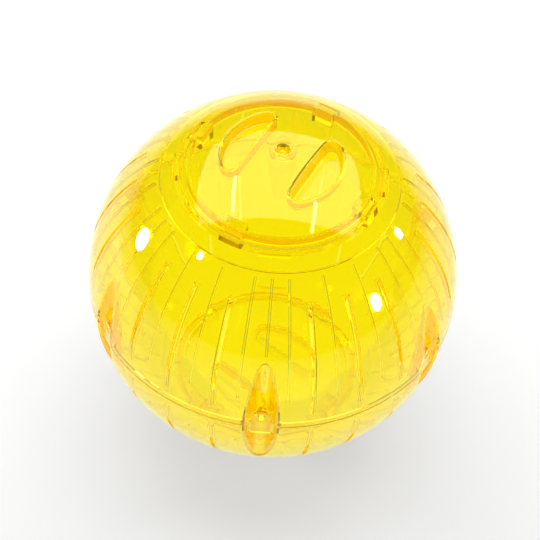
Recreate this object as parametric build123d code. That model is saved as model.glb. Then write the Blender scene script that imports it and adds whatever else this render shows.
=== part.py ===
from build123d import *
import os
from math import acos, asin, atan2, cos, degrees, hypot, isclose, radians, sin, sqrt, tan

# Exercise ball for a small pet: two clipped half shells of clear plastic, a twist-in door at each pole.
# Origin at the ball's centre, +Z along the door axis, seam in the XY plane, front towards -Y.
# Millimetres and degrees. Azimuths count from the front, positive to the right as seen from above.

# Ball and wall
ball_diameter = 250.0
wall = 2.4

# Seam: an inner collar of the lower half stands up inside the upper half
lap_height = 4.0
lap_thickness = 1.1
lap_clearance = 0.2
seam_chamfer = 0.5

# Foot ribs and vent slots on the inner surface, below a fine step ring round the doorway
sector_count = 6
step_ring_gap = 12.9
step_ring_width = 1.3
step_ring_crest_width = 0.3
step_ring_height = 0.7
rib_width = 1.8
rib_crest_width = 0.8
rib_height = 1.2
rib_gap = 3.9
rib_end_height = 23.4
short_rib_gap = 5.2
long_rib_azimuths = (7.5, 22.5, 37.5, 52.5)
slot_gap = 16.9
slot_end_height = 11.75
slot_width = 2.6
slot_rim_width = 1.0
slot_azimuths = (15.0, 30.0, 45.0)

# Clip grooves across the seam, and the tongues and pegs in them
groove_half_height = 52.0
groove_width = 22.0
groove_tip_radius = 5.0
groove_rim_radius = 0.6
tongue_inset = 3.5
tongue_thickness = 2.4
tongue_width = 12.0
tongue_height = 10.5
tongue_root = 12.0
tongue_clearance = 0.3
peg_diameter = 5.8
peg_height = 4.0
peg_clearance = 0.3
peg_end_inset = 4.2

# Doorway: a rebate for the door's edge, with a lip under it that the door's hooks reach below
door_radius = 65.0
door_edge_height = 2.4
rim_clearance = 0.3
seat_gap = 0.3
lip_width = 3.8
lip_thickness = 2.0
stop_length = 20.0
stop_drop = 3.4
mark_length = 3.2
mark_width = 2.6
mark_gap = 1.2
mark_height = 0.4

# Door: spigot, hooks with the windows that their mould cores leave, finger pockets and centre hole
door_wall = 2.4
hook_count = 4
gap_azimuth = -26.0
lock_turn = -26.0
spigot_clearance = 2.1
spigot_thickness = 1.8
spigot_depth = 3.0
hook_length = 14.0
hook_root_depth = 5.8
hook_reach = 4.0
hook_thickness = 3.4
hook_clearance = 0.3
gap_side_clearance = 0.8
gap_end_clearance = 0.6
window_inset = 0.8
pocket_straight_offset = 19.0
pocket_arc_radius = 38.0
pocket_corner_radius = 5.0
pocket_floor_depth = 14.5
pocket_wall = 2.0
pocket_floor_radius = 2.0
pocket_rim_radius = 1.5

# Door button: a stepped plug that snaps into the middle of the door
button_head_diameter = 12.6
button_head_height = 1.2
button_inset = 0.2
button_shank_diameter = 10.0
button_clearance = 0.05
button_pad_width = 2.4
button_pad_height = 1.2
button_barb_diameter = 11.2
button_barb_tip_diameter = 9.0
button_barb_height = 2.4
button_barb_gap = 0.15
button_dimple_diameter = 9.6
button_dimple_depth = 4.2
button_gate_diameter = 2.4

# Sizes worked out from the ones above
outer_radius = ball_diameter / 2
inner_radius = outer_radius - wall
lap_outer = inner_radius + lap_thickness
same_place = wall / 200


def height_on(sphere_radius, plan_radius):
    """Height above the seam of a point on a sphere, from its distance to the door axis."""
    return sqrt(sphere_radius**2 - plan_radius**2)


def on_meridian(sphere_radius, polar_angle):
    """Point (distance from the axis, height) on a sphere at a polar angle."""
    return sphere_radius * sin(radians(polar_angle)), sphere_radius * cos(radians(polar_angle))


def arc_on(sphere_radius, start, end):
    """Meridian arc of a sphere from one (distance, height) point to another."""
    middle = (degrees(atan2(*start)) + degrees(atan2(*end))) / 2
    return ThreePointArc(start, on_meridian(sphere_radius, middle), end)


def turned(azimuth, shape):
    """Takes a shape made along +X, outwards, to an azimuth counted from the front."""
    return Rot(0, 0, azimuth - 90) * shape


def all_round(count, azimuth, shape):
    """Copies of a shape made along +X, evenly round the door axis."""
    return [turned(azimuth + index * 360.0 / count, shape) for index in range(count)]


def on_outer_face(edge):
    """Whether an edge lies on the ball's outer face."""
    return isclose((edge @ 0.5).length, outer_radius, abs_tol=same_place)


# The lower half and its door are the upper ones turned over about the front-to-back axis
turned_over = Rot(0, 180, 0)

# Heights and radii of the doorway, from the door's edge down to the hooks
door_top_edge = height_on(outer_radius, door_radius)
door_bottom = door_top_edge - door_edge_height
lip_top = door_bottom - seat_gap
lip_bottom = lip_top - lip_thickness
rebate_radius = door_radius + rim_clearance
lip_radius = rebate_radius - lip_width
spigot_radius = lip_radius - spigot_clearance
hook_top = lip_bottom - hook_clearance
hook_bottom = hook_top - hook_thickness
hook_radius = spigot_radius + hook_reach

# Grooves: a V in plan with a rounded tip, cut straight down, so that the shell draws from its mould
groove_tip = sqrt(outer_radius**2 - groove_half_height**2)
groove_centre = groove_tip + groove_tip_radius
groove_mouth = outer_radius - groove_centre
groove_slope = atan2(groove_width / 2, groove_mouth) - asin(
    groove_tip_radius / hypot(groove_mouth, groove_width / 2)
)


def groove_prism(grow, bottom, top):
    """The groove's V, grown by a distance on its flanks, from one height to another."""
    apex = groove_centre - (groove_tip_radius + grow) / sin(groove_slope)
    mouth = outer_radius + groove_width
    half = (mouth - apex) * tan(groove_slope)
    outline = Polyline((apex, 0), (mouth, half), (mouth, -half), close=True)
    face = make_face(outline)
    tip = face.vertices().sort_by(Axis.X)[0]
    face = fillet(tip, groove_tip_radius + grow)
    return extrude(Pos(0, 0, bottom) * face, top - bottom)


groove_top = groove_half_height + 2 * wall


def groove_wall():
    """The shell's wall round one groove, above the seam, its outer face buried in the shell."""
    buried_radius = (lap_outer + lap_clearance + outer_radius) / 2
    return groove_prism(wall, 0, groove_top) & Sphere(buried_radius)


def along_wall(length):
    """Polar angle that a length along the inner surface takes up."""
    return degrees(length / inner_radius)


# Half shells: where the ring, the ribs and the slots start and end, as polar angles on the inner surface
step_ring_angle = degrees(asin(rebate_radius / inner_radius)) + along_wall(step_ring_gap)
rib_start = step_ring_angle + along_wall(rib_gap)
long_rib_end = degrees(acos(rib_end_height / inner_radius))
short_rib_end = degrees(acos(groove_half_height / outer_radius)) - along_wall(short_rib_gap)
slot_start = rib_start + along_wall(slot_gap)
slot_end = degrees(acos(slot_end_height / inner_radius))


def ridge_section(width, crest_width, height):
    """Tapered section of a ridge on the inner surface, along +X, its root buried in the wall."""
    root = inner_radius + wall / 2
    crest = inner_radius - height
    corners = [
        (root, width / 2),
        (inner_radius, width / 2),
        (crest, crest_width / 2),
        (crest, -crest_width / 2),
        (inner_radius, -width / 2),
        (root, -width / 2),
    ]
    return make_face(Polyline(*corners, close=True))


def rib(angles, width):
    """Ridge on the inner surface, along a meridian between two polar angles."""
    start, end = angles
    section = ridge_section(width, width - rib_width + rib_crest_width, rib_height)
    return revolve(Rot(0, start - 90, 0) * section, Axis.Y, end - start)


def slot_rim():
    """Raised border of one vent slot on the inner surface."""
    border = along_wall(slot_rim_width)
    return rib((slot_start - border, slot_end + border), slot_width + 2 * slot_rim_width)


def slot_cut():
    """One vent slot, cut straight down through the shell."""
    near = inner_radius * sin(radians(slot_start))
    far = inner_radius * sin(radians(slot_end))
    outline = SlotOverall(far - near, slot_width)
    return Pos((near + far) / 2, 0, lap_height) * extrude(outline, outer_radius)


def step_ring():
    """Fine raised ring on the inner surface, where the ribs begin."""
    section = ridge_section(step_ring_width, step_ring_crest_width, step_ring_height)
    return revolve(Rot(0, step_ring_angle - 90, 0) * Rot(90, 0, 0) * section, Axis.Z)


def shell_profile(collar):
    """Section of a half shell, from the seam to the doorway, with or without the seam collar."""
    outer_start = (height_on(outer_radius, seam_chamfer), seam_chamfer)
    outer_end = (rebate_radius, height_on(outer_radius, rebate_radius))
    inner_end = (height_on(inner_radius, lip_bottom), lip_bottom)
    if collar:
        step = lap_outer
        step_height = -lap_height
    else:
        step = lap_outer + lap_clearance
        step_height = lap_height + lap_clearance
    inner_start = (height_on(inner_radius, step_height), step_height)
    outline = arc_on(outer_radius, outer_start, outer_end)
    outline += Polyline(
        outer_end,
        (rebate_radius, lip_top),
        (lip_radius, lip_top),
        (lip_radius, lip_bottom),
        inner_end,
    )
    outline += arc_on(inner_radius, inner_end, inner_start)
    outline += Polyline(
        inner_start,
        (step, step_height),
        (step, 0),
        (outer_radius - seam_chamfer, 0),
        outer_start,
    )
    return Plane.XZ * make_face(outline)


def lip_stop():
    """Block under the lip that stops the hooks of a door turned the wrong way."""
    length = rebate_radius + wall / 2 - lip_radius
    height = stop_drop + lip_thickness / 2
    block = Box(length, stop_length, height, align=(Align.MIN, Align.CENTER, Align.MIN))
    return Pos(lip_radius, 0, lip_bottom - stop_drop) * block & Sphere(outer_radius - wall / 2)


def lip_gap():
    """Gap in the lip that a hook drops through."""
    reach = hook_radius + gap_end_clearance
    width = hook_length + 2 * gap_side_clearance
    block = Box(reach - spigot_radius, width, 2 * lip_thickness)
    return Pos((reach + spigot_radius) / 2, 0, (lip_top + lip_bottom) / 2) * block


def door_mark():
    """Small raised arrow beside the doorway, pointing at the door."""
    near = rebate_radius + mark_gap
    far = near + mark_length
    arrow = make_face(Polyline((near, 0), (far, mark_width / 2), (far, -mark_width / 2), close=True))
    block = extrude(arrow, outer_radius + wall)
    return block & (Sphere(outer_radius + mark_height) - Sphere(outer_radius - wall / 2))


def is_groove_rim(edge):
    """Whether an edge is where the side of a groove meets the ball's outer face."""
    middle = edge @ 0.5
    sector = 360.0 / sector_count
    from_groove = (degrees(atan2(middle.X, -middle.Y)) + sector / 2) % sector - sector / 2
    sideways = hypot(middle.X, middle.Y) * sin(radians(abs(from_groove)))
    above_seam = seam_chamfer + same_place < middle.Z < groove_top
    return on_outer_face(edge) and above_seam and sideways < groove_width / 2


def half_shell(collar):
    """One half shell above the seam, before its tongues or pegs."""
    shell = revolve(shell_profile(collar), Axis.Z)
    if collar:
        shell -= all_round(sector_count, 0, groove_prism(wall + tongue_clearance, -2 * lap_height, 0))
    ridges = [step_ring()]
    for azimuth in long_rib_azimuths:
        ridges += all_round(sector_count, azimuth, rib((rib_start, long_rib_end), rib_width))
    ridges += all_round(sector_count, 0, rib((rib_start, short_rib_end), rib_width))
    for azimuth in slot_azimuths:
        ridges += all_round(sector_count, azimuth, slot_rim())
    ridges += all_round(sector_count, 0, groove_wall())
    ridges += all_round(hook_count, 0, lip_stop())
    ridges += all_round(2, 90, door_mark())
    shell += ridges
    cuts = all_round(sector_count, 0, groove_prism(0, -2 * lap_height, groove_top + outer_radius))
    for azimuth in slot_azimuths:
        cuts += all_round(sector_count, azimuth, slot_cut())
    cuts += all_round(hook_count, gap_azimuth, lip_gap())
    shell -= cuts
    return fillet(shell.edges().filter_by(is_groove_rim), groove_rim_radius)


tongue_outer = outer_radius - tongue_inset
tongue_inner = tongue_outer - tongue_thickness


def tongue():
    """Snap tongue of the lower half: rooted between the groove's flanks, free above the seam."""
    arch = Pos(0, tongue_height - tongue_width / 2) * Circle(tongue_width / 2)
    stem_height = tongue_height - tongue_width / 2 + tongue_root
    stem = Pos(0, stem_height / 2 - tongue_root) * Rectangle(tongue_width, stem_height)
    root = Pos(0, -tongue_root / 2) * Rectangle(groove_width, tongue_root)
    plate = extrude(Plane.YZ.offset(tongue_inner) * (arch + stem + root), tongue_thickness)
    seat = groove_prism(wall / 2, -2 * tongue_root, 0)
    free = groove_prism(-tongue_clearance, 0, 2 * tongue_height)
    hole = Plane.YZ.offset(tongue_inner / 2) * Pos(0, peg_height) * Circle(peg_diameter / 2 + peg_clearance)
    return (plate & (seat + free)) - extrude(hole, outer_radius)


def peg():
    """Peg of the upper half, which the tongue's hole snaps over."""
    start = groove_tip - wall / 2
    outline = Plane.YZ.offset(start) * Pos(0, peg_height) * Circle(peg_diameter / 2)
    return extrude(outline, outer_radius - peg_end_inset - start)


def upper_half():
    """Half shell with the pegs."""
    return half_shell(False) + all_round(sector_count, 0, peg())


def lower_half():
    """Half shell with the collar, turned over, and the tongues that stand up from it."""
    shell = turned_over * half_shell(True)
    return shell + all_round(sector_count, 0, tongue())


# Doors
pocket_floor = outer_radius - pocket_floor_depth


def pocket_column(grow, bottom):
    """D-shaped column of a finger pocket, its straight side towards the door's centre."""
    radius = pocket_arc_radius + grow
    offset = pocket_straight_offset - grow
    half = sqrt(radius**2 - offset**2)
    outline = ThreePointArc((offset, -half), (radius, 0), (offset, half))
    outline += Line((offset, half), (offset, -half))
    face = make_face(outline)
    face = fillet(face.vertices(), pocket_corner_radius + grow)
    return extrude(Pos(0, 0, bottom) * face, outer_radius)


def hook():
    """Hook under the door's rim: a root block below the dome, and a toe that reaches out under the lip."""
    root_inner = spigot_radius - hook_root_depth
    root_length = hook_root_depth - spigot_thickness / 2
    toe_length = hook_root_depth + hook_reach
    align = (Align.MIN, Align.CENTER, Align.MIN)
    root = Box(root_length, hook_length, outer_radius, align=align)
    toe = Box(toe_length, hook_length, hook_thickness, align=align)
    place = Pos(root_inner, 0, hook_bottom)
    return (place * root & Sphere(outer_radius - door_wall / 2)) + place * toe


def hook_window():
    """Window through the door's rim over a hook's toe."""
    inner = spigot_radius + window_inset
    block = Box(hook_radius - inner, hook_length, outer_radius, align=(Align.MIN, Align.CENTER, Align.MIN))
    return Pos(inner, 0, lip_bottom) * block


def door_profile():
    """Section of the door: a domed wall with an edge that drops into the rebate, and a spigot below."""
    dome = outer_radius - door_wall
    edge = height_on(dome, door_bottom)
    spigot_inner = spigot_radius - spigot_thickness
    spigot_bottom = door_bottom - spigot_depth
    outer_end = (door_radius, door_top_edge)
    outline = arc_on(outer_radius, (0, outer_radius), outer_end)
    outline += Polyline(outer_end, (door_radius, door_bottom), (edge, door_bottom))
    outline += arc_on(dome, (edge, door_bottom), (spigot_radius, height_on(dome, spigot_radius)))
    outline += Polyline(
        (spigot_radius, height_on(dome, spigot_radius)),
        (spigot_radius, spigot_bottom),
        (spigot_inner, spigot_bottom),
        (spigot_inner, height_on(dome, spigot_inner)),
    )
    outline += arc_on(dome, (spigot_inner, height_on(dome, spigot_inner)), (0, dome))
    outline += Line((0, dome), (0, outer_radius))
    return Plane.XZ * make_face(outline)


button_top = height_on(outer_radius, button_head_diameter / 2) - button_inset
button_floor = button_top - button_head_height - button_clearance
button_pad_bottom = outer_radius - door_wall - button_pad_height


def button_hole():
    """Stepped hole in the middle of the door."""
    head = Circle(button_head_diameter / 2 + button_clearance)
    shank = Circle(button_shank_diameter / 2 + button_clearance)
    return extrude(Pos(0, 0, button_floor) * head, outer_radius) + extrude(shank, outer_radius)


def button_pad():
    """Thicker round of the door's wall under the button's head."""
    disc = Circle(button_head_diameter / 2 + button_pad_width)
    return extrude(Pos(0, 0, button_pad_bottom) * disc, button_pad_height + door_wall / 2)


def finger_pocket(grow, bottom, floor_radius):
    """Column of a finger pocket with a rounded lower edge."""
    column = pocket_column(grow, bottom)
    return fillet(column.faces().sort_by(Axis.Z)[0].edges(), floor_radius)


def door():
    """One door above the seam, with its finger pockets along X and its hooks every quarter turn."""
    cup = finger_pocket(pocket_wall, pocket_floor - pocket_wall, pocket_floor_radius + pocket_wall)
    cup &= Sphere(outer_radius - door_wall / 2)
    dome = revolve(door_profile(), Axis.Z)
    dome += all_round(2, 90, cup) + all_round(hook_count, 0, hook()) + [button_pad()]
    pockets = all_round(2, 90, finger_pocket(0, pocket_floor, pocket_floor_radius))
    cut_dome = dome - pockets
    rims = new_edges(dome, *pockets, combined=cut_dome).filter_by(on_outer_face)
    rounded = fillet(rims, pocket_rim_radius)
    return rounded - (all_round(hook_count, 0, hook_window()) + [button_hole()])


def button():
    """Stepped plug in the middle of a door, with a dimple and the mark of its mould gate."""
    head_bottom = button_top - button_head_height
    shank_bottom = button_pad_bottom - button_barb_gap
    tip = shank_bottom - button_barb_height
    outline = Polyline(
        (0, button_top - button_dimple_depth),
        (button_gate_diameter / 2, button_top - button_dimple_depth),
        (button_dimple_diameter / 2, button_top),
        (button_head_diameter / 2, button_top),
        (button_head_diameter / 2, head_bottom),
        (button_shank_diameter / 2, head_bottom),
        (button_shank_diameter / 2, shank_bottom),
        (button_barb_diameter / 2, shank_bottom),
        (button_barb_tip_diameter / 2, tip),
        (0, tip),
        close=True,
    )
    return revolve(Plane.XZ * make_face(outline), Axis.Z)


os.makedirs("parts", exist_ok=True)
upper_turn = Rot(0, 0, gap_azimuth)
lower_turn = turned_over * Rot(0, 0, gap_azimuth + lock_turn)
nodes = {
    "upper_half": upper_half(),
    "lower_half": lower_half(),
    "upper_door": upper_turn * door(),
    "lower_door": lower_turn * door(),
    "upper_door_button": upper_turn * button(),
    "lower_door_button": lower_turn * button(),
}
for name, shape in nodes.items():
    export_step(shape, f"parts/{name}.step")
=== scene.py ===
import math
import bpy
import bmesh
from mathutils import Matrix, Vector

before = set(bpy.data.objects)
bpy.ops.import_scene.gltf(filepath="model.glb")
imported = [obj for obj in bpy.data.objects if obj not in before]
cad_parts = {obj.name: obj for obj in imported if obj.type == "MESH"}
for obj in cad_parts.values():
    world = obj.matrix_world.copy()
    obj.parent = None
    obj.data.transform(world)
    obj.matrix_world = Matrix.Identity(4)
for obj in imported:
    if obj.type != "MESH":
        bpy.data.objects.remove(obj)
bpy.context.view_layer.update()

# Lower half
# One injection-moulded half shell of clear yellow polystyrene, with the seam's inner collar and six snap
# tongues. Polished by its mould, it has a faint waviness and fine scuffs from rolling. A deeper yellow is
# painted
# on the faces that stand on end (slot walls, ribs, groove edges): a painted glow for light led along the
# plastic.
clear_yellow = (1.0, 0.91, 0.04, 1.0)
# Painted glow: a deeper yellow put on faces that stand on end, standing in for light led along the plastic
painted_glow_yellow = (1.0, 0.68, 0.02, 1.0)


def clear_plastic(name, wall_colour, painted_glow_colour, turn):
    """Clear plastic: the wall's colour on round faces, a painted glow colour (for light led along the
    plastic) on each face that stands on end.
    """
    material = bpy.data.materials.new(name)
    material.use_nodes = True
    nodes = material.node_tree.nodes
    links = material.node_tree.links
    plastic = nodes["Principled BSDF"]
    plastic.inputs["IOR"].default_value = 1.5
    plastic.inputs["Transmission Weight"].default_value = 1.0
    place = nodes.new("ShaderNodeTexCoord")

    # How far a face stands on end: its normal against the line from the ball's centre
    outward = nodes.new("ShaderNodeVectorMath")
    outward.operation = "NORMALIZE"
    links.new(place.outputs["Object"], outward.inputs[0])
    surface = nodes.new("ShaderNodeNewGeometry")
    own_normal = nodes.new("ShaderNodeVectorTransform")
    own_normal.vector_type = "NORMAL"
    own_normal.convert_from = "WORLD"
    own_normal.convert_to = "OBJECT"
    links.new(surface.outputs["Normal"], own_normal.inputs[0])
    lie = nodes.new("ShaderNodeVectorMath")
    lie.operation = "DOT_PRODUCT"
    links.new(outward.outputs["Vector"], lie.inputs[0])
    links.new(own_normal.outputs[0], lie.inputs[1])
    flat = nodes.new("ShaderNodeMath")
    flat.operation = "ABSOLUTE"
    links.new(lie.outputs["Value"], flat.inputs[0])
    on_end = nodes.new("ShaderNodeMapRange")
    on_end.interpolation_type = "SMOOTHSTEP"
    on_end.inputs["From Min"].default_value = 0.97
    on_end.inputs["From Max"].default_value = 0.55
    links.new(flat.outputs["Value"], on_end.inputs["Value"])
    # Painted glow: faces that stand on end get the deeper colour in place of light led along the wall
    colour = nodes.new("ShaderNodeMix")
    colour.data_type = "RGBA"
    colour.inputs["A"].default_value = wall_colour
    colour.inputs["B"].default_value = painted_glow_colour
    links.new(on_end.outputs["Result"], colour.inputs["Factor"])
    links.new(colour.outputs["Result"], plastic.inputs["Base Color"])

    # Fine scuffs: streaks of noise, only inside patches
    scuff_way = nodes.new("ShaderNodeMapping")
    scuff_way.inputs["Rotation"].default_value = (0.4, turn, 0.2)
    scuff_way.inputs["Scale"].default_value = (1.0, 1.0, 0.06)
    links.new(place.outputs["Object"], scuff_way.inputs["Vector"])
    streaks = nodes.new("ShaderNodeTexNoise")
    streaks.inputs["Scale"].default_value = 900.0
    streaks.inputs["Detail"].default_value = 2.0
    links.new(scuff_way.outputs["Vector"], streaks.inputs["Vector"])
    patches = nodes.new("ShaderNodeTexNoise")
    patches.inputs["Scale"].default_value = 22.0
    patches.inputs["Detail"].default_value = 3.0
    links.new(place.outputs["Object"], patches.inputs["Vector"])
    scuffs = nodes.new("ShaderNodeMath")
    scuffs.operation = "MULTIPLY"
    links.new(streaks.outputs["Fac"], scuffs.inputs[0])
    links.new(patches.outputs["Fac"], scuffs.inputs[1])
    dullness = nodes.new("ShaderNodeMapRange")
    dullness.inputs["From Min"].default_value = 0.3
    dullness.inputs["From Max"].default_value = 0.5
    dullness.inputs["To Min"].default_value = 0.015
    dullness.inputs["To Max"].default_value = 0.12
    links.new(scuffs.outputs["Value"], dullness.inputs["Value"])
    links.new(dullness.outputs["Result"], plastic.inputs["Roughness"])

    # Faint waviness of a thin moulding
    waves = nodes.new("ShaderNodeTexNoise")
    waves.inputs["Scale"].default_value = 28.0
    waves.inputs["Detail"].default_value = 1.0
    links.new(place.outputs["Object"], waves.inputs["Vector"])
    wavy = nodes.new("ShaderNodeBump")
    wavy.inputs["Strength"].default_value = 1.0
    wavy.inputs["Distance"].default_value = 0.00008
    links.new(waves.outputs["Fac"], wavy.inputs["Height"])
    links.new(wavy.outputs["Normal"], plastic.inputs["Normal"])

    # Lamps shine through the wall, so it throws no more than a light shadow
    path = nodes.new("ShaderNodeLightPath")
    see_through = nodes.new("ShaderNodeBsdfTransparent")
    see_through.inputs["Color"].default_value = (0.84, 0.84, 0.84, 1.0)
    wall = plastic.outputs["BSDF"]
    for kind in ("Is Shadow Ray", "Is Diffuse Ray"):
        either = nodes.new("ShaderNodeMixShader")
        links.new(path.outputs[kind], either.inputs["Fac"])
        links.new(wall, either.inputs[1])
        links.new(see_through.outputs["BSDF"], either.inputs[2])
        wall = either.outputs["Shader"]

    # The far wall, seen across the ball, is little more than its tint, and light led along a wall gets out
    across = nodes.new("ShaderNodeMath")
    across.operation = "GREATER_THAN"
    across.inputs[1].default_value = 0.04
    links.new(path.outputs["Ray Length"], across.inputs[0])
    faint = nodes.new("ShaderNodeMath")
    faint.operation = "MULTIPLY"
    faint.inputs[1].default_value = 0.85
    links.new(across.outputs["Value"], faint.inputs[0])
    led_along = nodes.new("ShaderNodeMath")
    led_along.operation = "GREATER_THAN"
    led_along.inputs[1].default_value = 4.5
    links.new(path.outputs["Ray Depth"], led_along.inputs[0])
    far_or_led = nodes.new("ShaderNodeMath")
    far_or_led.operation = "MAXIMUM"
    links.new(faint.outputs["Value"], far_or_led.inputs[0])
    links.new(led_along.outputs["Value"], far_or_led.inputs[1])
    tint = nodes.new("ShaderNodeBsdfTransparent")
    tint.inputs["Color"].default_value = [math.sqrt(part) for part in wall_colour]
    whole = wall
    for kind, share in (("Is Glossy Ray", led_along), ("Is Transmission Ray", far_or_led)):
        inside = nodes.new("ShaderNodeMixShader")
        links.new(share.outputs["Value"], inside.inputs["Fac"])
        links.new(plastic.outputs["BSDF"], inside.inputs[1])
        links.new(tint.outputs["BSDF"], inside.inputs[2])
        either = nodes.new("ShaderNodeMixShader")
        links.new(path.outputs[kind], either.inputs["Fac"])
        links.new(whole, either.inputs[1])
        links.new(inside.outputs["Shader"], either.inputs[2])
        whole = either.outputs["Shader"]
    links.new(whole, nodes["Material Output"].inputs["Surface"])

    # Light that runs along the plastic comes out orange
    depth = nodes.new("ShaderNodeVolumeAbsorption")
    depth.inputs["Color"].default_value = (1.0, 0.87, 0.0, 1.0)
    depth.inputs["Density"].default_value = 15.0
    links.new(depth.outputs["Volume"], nodes["Material Output"].inputs["Volume"])
    return material


def finish_node(node, material):
    """Gives a CAD node its finish."""
    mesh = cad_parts[node].data
    mesh.materials.clear()
    mesh.materials.append(material)


shell_plastic = clear_plastic("shell_plastic", clear_yellow, painted_glow_yellow, 0.3)
finish_node("lower_half", shell_plastic)

# Upper half
# The same moulding with pegs in its grooves in place of tongues. It drops over the lower half's collar, and
# the tongues snap over the pegs.
finish_node("upper_half", shell_plastic)

# Doors
# Domed discs of the same plastic, with two finger pockets sunk into them. Four hooks under the rim turn under
# the doorway's lip.
door_plastic = clear_plastic("door_plastic", clear_yellow, painted_glow_yellow, 1.1)
finish_node("upper_door", door_plastic)
finish_node("lower_door", door_plastic)

# Door buttons
# Small stepped plugs in the middle of the doors, pushed in from outside, with the mark of the mould's gate.
button_plastic = clear_plastic("button_plastic", clear_yellow, painted_glow_yellow, 2.0)
finish_node("upper_door_button", button_plastic)
finish_node("lower_door_button", button_plastic)

# Floor
# Plain white studio floor that keeps the ball's soft shadow.
ball_radius = 0.125
floor_size = 12.0
shape = bmesh.new()
bmesh.ops.create_grid(shape, x_segments=1, y_segments=1, size=floor_size / 2)
bmesh.ops.translate(shape, verts=shape.verts, vec=(0, 0, -ball_radius))
floor_mesh = bpy.data.meshes.new("floor")
shape.to_mesh(floor_mesh)
shape.free()
floor = bpy.data.objects.new("floor", floor_mesh)
bpy.context.collection.objects.link(floor)
floor_paint = bpy.data.materials.new("floor_paint")
floor_paint.use_nodes = True
nodes = floor_paint.node_tree.nodes
links = floor_paint.node_tree.links
paint = nodes["Principled BSDF"]
paint.inputs["Base Color"].default_value = (0.9, 0.9, 0.9, 1.0)
paint.inputs["Roughness"].default_value = 0.9
paint.inputs["Specular IOR Level"].default_value = 0.0
paint.inputs["Emission Color"].default_value = (1.0, 1.0, 1.0, 1.0)
path = nodes.new("ShaderNodeLightPath")
seen = nodes.new("ShaderNodeMath")
seen.operation = "MAXIMUM"
links.new(path.outputs["Is Camera Ray"], seen.inputs[0])
links.new(path.outputs["Is Glossy Ray"], seen.inputs[1])
whiter = nodes.new("ShaderNodeMath")
whiter.operation = "MULTIPLY"
whiter.inputs[1].default_value = 0.3
links.new(seen.outputs["Value"], whiter.inputs[0])
links.new(whiter.outputs["Value"], paint.inputs["Emission Strength"])
plain_white = nodes.new("ShaderNodeEmission")
plain_white.inputs["Strength"].default_value = 1.0
through_ball = nodes.new("ShaderNodeMixShader")
links.new(path.outputs["Is Transmission Ray"], through_ball.inputs["Fac"])
links.new(paint.outputs["BSDF"], through_ball.inputs[1])
links.new(plain_white.outputs["Emission"], through_ball.inputs[2])
links.new(through_ball.outputs["Shader"], nodes["Material Output"].inputs["Surface"])
floor_mesh.materials.append(floor_paint)

# Studio
# A dim room that shows white only to the camera, and grey through the plastic. One wide panel hangs overhead
# with two narrow strips beside it, a round lamp and a small spot stand at each side, and a soft lamp above
# lifts the floor.
world = bpy.data.worlds.new("studio")
bpy.context.scene.world = world
world.use_nodes = True
nodes = world.node_tree.nodes
links = world.node_tree.links
sky = nodes["Background"]
sky.inputs["Color"].default_value = (1.0, 1.0, 1.0, 1.0)
direction = nodes.new("ShaderNodeTexCoord")
split = nodes.new("ShaderNodeSeparateXYZ")
links.new(direction.outputs["Generated"], split.inputs[0])
ceiling = nodes.new("ShaderNodeMapRange")
ceiling.interpolation_type = "SMOOTHSTEP"
ceiling.inputs["From Min"].default_value = 0.3
ceiling.inputs["From Max"].default_value = 0.75
ceiling.inputs["To Min"].default_value = 0.05
ceiling.inputs["To Max"].default_value = 0.01
links.new(split.outputs["Z"], ceiling.inputs["Value"])
path = nodes.new("ShaderNodeLightPath")
led = nodes.new("ShaderNodeMath")
led.operation = "GREATER_THAN"
led.inputs[1].default_value = 2.5
links.new(path.outputs["Ray Depth"], led.inputs[0])
led_out = nodes.new("ShaderNodeMath")
led_out.operation = "MULTIPLY_ADD"
links.new(led.outputs["Value"], led_out.inputs[0])
links.new(path.outputs["Is Glossy Ray"], led_out.inputs[1])
links.new(path.outputs["Is Transmission Ray"], led_out.inputs[2])
grey_wall = nodes.new("ShaderNodeMath")
grey_wall.operation = "MULTIPLY"
grey_wall.inputs[1].default_value = 0.3
links.new(led_out.outputs["Value"], grey_wall.inputs[0])
light = ceiling.outputs["Result"]
for level in (grey_wall.outputs["Value"], path.outputs["Is Camera Ray"]):
    brighter = nodes.new("ShaderNodeMath")
    brighter.operation = "MAXIMUM"
    links.new(light, brighter.inputs[0])
    links.new(level, brighter.inputs[1])
    light = brighter.outputs["Value"]
links.new(light, sky.inputs["Strength"])


def lamp(name, place, size, brightness, shape="RECTANGLE", aim=(0, 0, 0)):
    """Area lamp of a given brightness, turned to the ball."""
    light = bpy.data.lights.new(name, "AREA")
    light.shape = shape
    light.size, light.size_y = size
    area = size[0] * size[1] * (math.pi / 4 if shape == "ELLIPSE" else 1.0)
    light.energy = brightness * math.pi * area
    holder = bpy.data.objects.new(name, light)
    look = (Vector(aim) - Vector(place)).to_track_quat("-Z", "Y")
    holder.matrix_world = Matrix.Translation(place) @ look.to_matrix().to_4x4()
    bpy.context.collection.objects.link(holder)
    return holder


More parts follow.
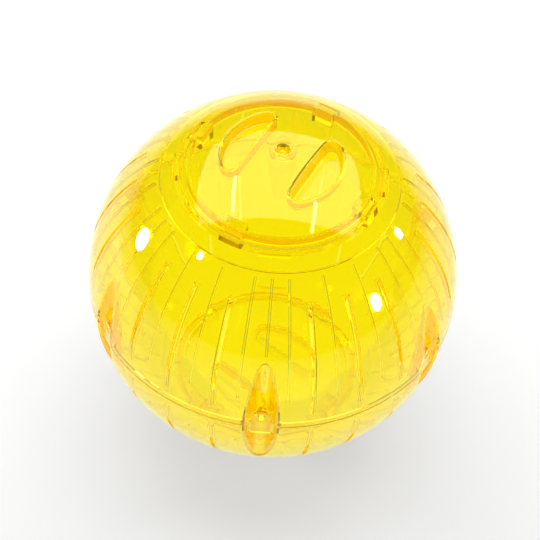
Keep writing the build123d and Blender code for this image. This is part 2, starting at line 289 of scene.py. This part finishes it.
lamp("overhead_panel", (0.0, 0.8, 1.2), (2.4, 1.9), 1.6, aim=(0.0, 0.8, 0.0))
lamp("left_strip", (-0.515, 0.2, 1.15), (0.045, 0.52), 7.0, aim=(-0.515, 0.2, 0.0))
lamp("right_strip", (0.416, -0.056, 1.15), (0.045, 0.40), 7.0, aim=(0.416, -0.056, 0.0))
lamp("left_lamp", (-0.98, 0.08, 0.18), (0.17, 0.19), 30.0, shape="ELLIPSE")
lamp("right_lamp", (0.916, 0.213, 0.34), (0.08, 0.11), 30.0, shape="ELLIPSE")

for name, place, size in (
    ("left_spot", (-0.681, -0.38, 0.65), (0.07, 0.08)),
    ("right_spot", (0.889, -0.415, 0.246), (0.11, 0.19)),
):
    spot = lamp(name, place, size, 30.0, shape="ELLIPSE")
    spot.visible_diffuse = False

floor_lamp = lamp("floor_lamp", (0.0, 0.2, 1.6), (1.6, 0.8), 1.2)
floor_lamp.visible_glossy = False
floor_lamp.visible_transmission = False

# Camera
# At the photograph's viewing angle: 51.4 degrees above the seam, 1.09 m from the ball's centre and rolled
# by 4.6 degrees.
camera_distance = 8.728 * ball_radius
camera_elevation = math.radians(51.38)
camera_roll = math.radians(4.59)
photo_side = 540.0
ball_centre_in_photo = (272.9, 273.75)
focal_pixels = 1597.0
eye = bpy.data.cameras.new("camera")
eye.sensor_width = 36.0
eye.lens = focal_pixels / photo_side * eye.sensor_width
eye.shift_x = (photo_side / 2 - ball_centre_in_photo[0]) / photo_side
eye.shift_y = (ball_centre_in_photo[1] - photo_side / 2) / photo_side
camera = bpy.data.objects.new("camera", eye)
stand = Vector((0, -math.cos(camera_elevation), math.sin(camera_elevation))) * camera_distance
look = (-stand).to_track_quat("-Z", "Y").to_matrix().to_4x4()
camera.matrix_world = Matrix.Translation(stand) @ look @ Matrix.Rotation(camera_roll, 4, "Z")
bpy.context.collection.objects.link(camera)
scene = bpy.context.scene
scene.camera = camera
scene.view_settings.view_transform = "Standard"
scene.cycles.max_bounces = 32
scene.cycles.transmission_bounces = 32
scene.cycles.transparent_max_bounces = 32
scene.cycles.caustics_refractive = False
